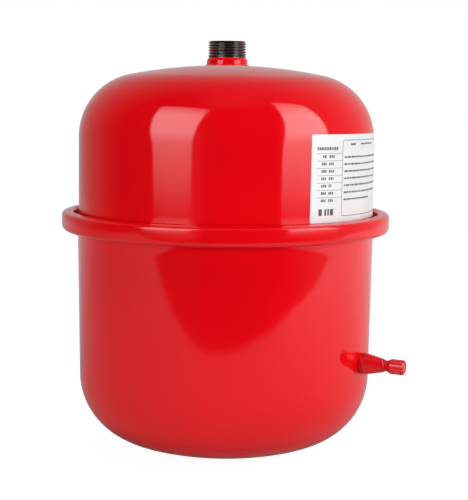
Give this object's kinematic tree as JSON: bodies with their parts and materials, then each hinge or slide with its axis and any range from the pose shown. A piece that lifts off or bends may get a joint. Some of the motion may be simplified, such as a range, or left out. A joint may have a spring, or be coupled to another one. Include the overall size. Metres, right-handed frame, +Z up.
{
  "type": "diaphragm expansion vessel",
  "caption": "Small upright heating expansion vessel: two domed red steel shells under a clamp ring, rubber diaphragm inside, threaded pipe connection on top and a capped gas charging valve.",
  "frame": {"origin": "centre of the flat on the base, on the vessel's axis", "axes": "+Z up the vessel's axis towards the pipe connection; -Y towards the side that shows the charging valve at the right and the label at the upper right"},
  "size_m": [0.2357, 0.2268, 0.2851],
  "materials": {
    "red_paint": "gloss stoved paint with slight orange peel",
    "thread_steel": "bare turned steel, lightly oiled",
    "diaphragm_rubber": "matt moulded",
    "label_film": "satin printed film",
    "painted_valve": "rubber under thin red paint",
    "painted_cap": "plastic under thin red paint",
    "brass": "turned",
    "pin_steel": "drawn wire",
    "seal_rubber": "moulded"
  },
  "bodies": {
    "root": {"upper_shell": "red_paint", "lower_shell": "red_paint", "clamp_ring": "red_paint", "diaphragm_bead": "diaphragm_rubber", "diaphragm_skirt": "diaphragm_rubber", "connection_nipple": "thread_steel", "nipple_weld": "red_paint", "rating_label": "label_film", "valve_rubber": "painted_valve", "valve_stem": "brass", "core_plug": "brass", "core_gasket": "seal_rubber", "core_barrel": "brass", "core_spring": "pin_steel"},
    "diaphragm": {"diaphragm_crown": "diaphragm_rubber"},
    "valve_pin": {"core_pin": "pin_steel", "core_cup": "brass", "core_cup_seal": "seal_rubber"},
    "cap_carrier": {"cap_seal": "seal_rubber"},
    "cap": {"valve_cap": "painted_cap"}
  },
  "joints": [
    {"name": "diaphragm_travel", "type": "slide", "parent": "root", "child": "diaphragm", "axis": [0, 0, -1], "range_m": [0, 0.15], "stiffness_N_per_m": 10, "springref_m": -0.05, "deforming": ["diaphragm_skirt"]},
    {"name": "valve_pin_press", "type": "slide", "parent": "root", "child": "valve_pin", "axis": [-0.9134, 0.4067, 0.0145], "range_m": [0, 0.0015], "stiffness_N_per_m": 600, "springref_m": -0.002, "deforming": ["core_spring"]},
    {"name": "cap_lift", "type": "slide", "parent": "root", "child": "cap_carrier", "axis": [0.9134, -0.4067, -0.0145], "range_m": [0, 0.00556]},
    {"name": "cap_turn", "type": "hinge", "parent": "cap_carrier", "child": "cap", "pos_m": [0.0925, -0.04118, 0.0692], "axis": [0.9134, -0.4067, -0.0145], "range_deg": [0, 2520]}
  ],
  "couplings": [
    {"joint": "cap_turn", "follows": "cap_lift", "rad_per_m": 7913.3}
  ]
}
